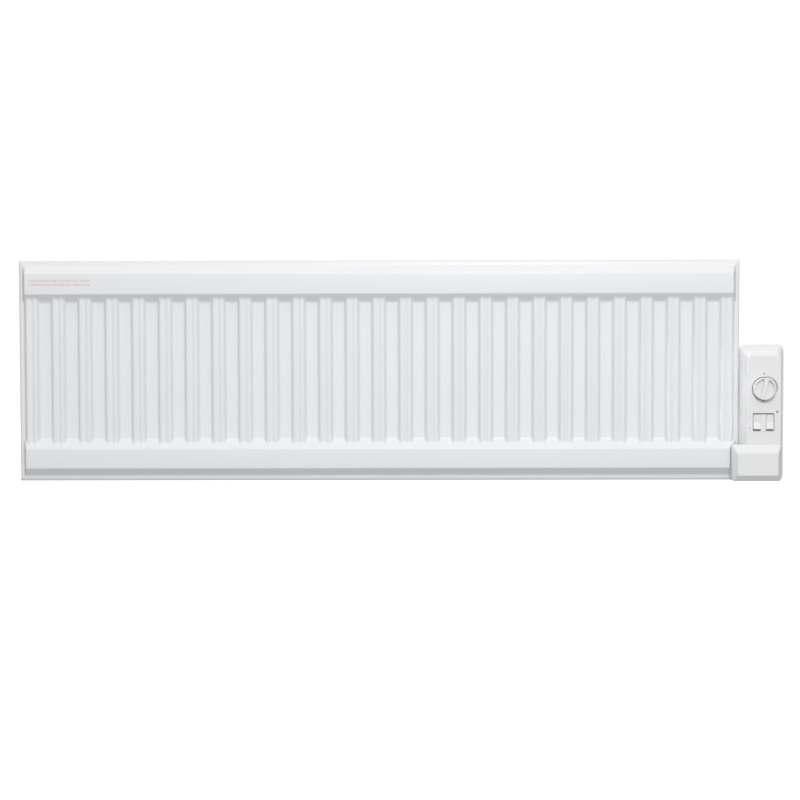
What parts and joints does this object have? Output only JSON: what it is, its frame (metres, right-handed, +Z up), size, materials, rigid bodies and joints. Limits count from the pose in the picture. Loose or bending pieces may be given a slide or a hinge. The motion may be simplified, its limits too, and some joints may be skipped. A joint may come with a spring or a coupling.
{
  "type": "baseboard heater",
  "caption": "low wall-hung oil-filled electric panel heater with an end control box, thermostat knob and twin rockers",
  "frame": {"origin": "middle of the wall bracket's crossbar, on the wall plane; also the middle of the panel's width and height", "axes": "+Z up, +Y into the wall, the front faces -Y, +X towards the control box"},
  "size_m": [1.042, 0.0851, 0.3],
  "materials": {
    "panel_paint": "white baked powder coat, low sheen",
    "bracket_zinc": "zinc-plated pressed steel",
    "screw_zinc": "zinc-plated steel",
    "sheath_steel": "oiled steel tube",
    "terminal_metal": "plain metal",
    "brass": "machined brass",
    "gasket_fibre": "matt black sealing ring",
    "white_plastic": "white moulded plastic, fine grain",
    "white_gloss": "white moulded plastic, smooth",
    "grey_plastic": "grey moulded plastic",
    "black_plastic": "black component case",
    "board_laminate": "green circuit board laminate",
    "lens_plastic": "clear light guide",
    "brown_wire": "brown wire sleeve",
    "blue_wire": "blue wire sleeve"
  },
  "bodies": {
    "heater": {"front_panel": "panel_paint", "rear_panel": "panel_paint", "element_socket": "panel_paint", "element_gasket": "gasket_fibre", "element_head": "brass", "heating_element": "sheath_steel", "element_terminals": "terminal_metal", "filler_socket": "panel_paint", "filler_gasket": "gasket_fibre", "filler_plug": "brass", "lower_lugs": "panel_paint", "upper_lugs": "panel_paint", "bracket_upright_left": "bracket_zinc", "bracket_upright_right": "bracket_zinc", "bracket_crossbar": "bracket_zinc", "latch_rivets": "screw_zinc", "control_base": "white_plastic", "control_cover": "white_plastic", "cover_screws": "screw_zinc", "indicator_lens": "lens_plastic", "thermostat_body": "grey_plastic", "switch_body": "white_plastic", "control_board": "board_laminate", "board_screws": "screw_zinc", "relay": "black_plastic", "transformer": "black_plastic", "capacitor": "black_plastic", "box_tab": "panel_paint", "tab_screws": "screw_zinc", "thermal_cutout": "terminal_metal", "terminal_block": "grey_plastic", "cable_inlet_bush": "grey_plastic", "lead_live": "brown_wire", "lead_neutral": "blue_wire"},
    "left_latch": {"latch_left": "bracket_zinc"},
    "right_latch": {"latch_right": "bracket_zinc"},
    "knob": {"temperature_knob": "white_gloss", "thermostat_spindle": "grey_plastic"},
    "left_rocker": {"rocker_left": "white_gloss"},
    "right_rocker": {"rocker_right": "white_gloss"}
  },
  "joints": [
    {"name": "left_latch_slide", "type": "slide", "parent": "heater", "child": "left_latch", "axis": [0, 0, 1], "range_m": [0, 0.01]},
    {"name": "right_latch_slide", "type": "slide", "parent": "heater", "child": "right_latch", "axis": [0, 0, 1], "range_m": [0, 0.01]},
    {"name": "knob_turn", "type": "hinge", "parent": "heater", "child": "knob", "pos_m": [0.5195, -0.076, -0.025], "axis": [0, 1, 0], "range_deg": [-160, 140]},
    {"name": "left_rocker_tilt", "type": "hinge", "parent": "heater", "child": "left_rocker", "pos_m": [0.5109, -0.0705, -0.0706], "axis": [1, 0, 0], "range_deg": [0, 16]},
    {"name": "right_rocker_tilt", "type": "hinge", "parent": "heater", "child": "right_rocker", "pos_m": [0.5281, -0.0705, -0.0706], "axis": [1, 0, 0], "range_deg": [0, 16]}
  ]
}
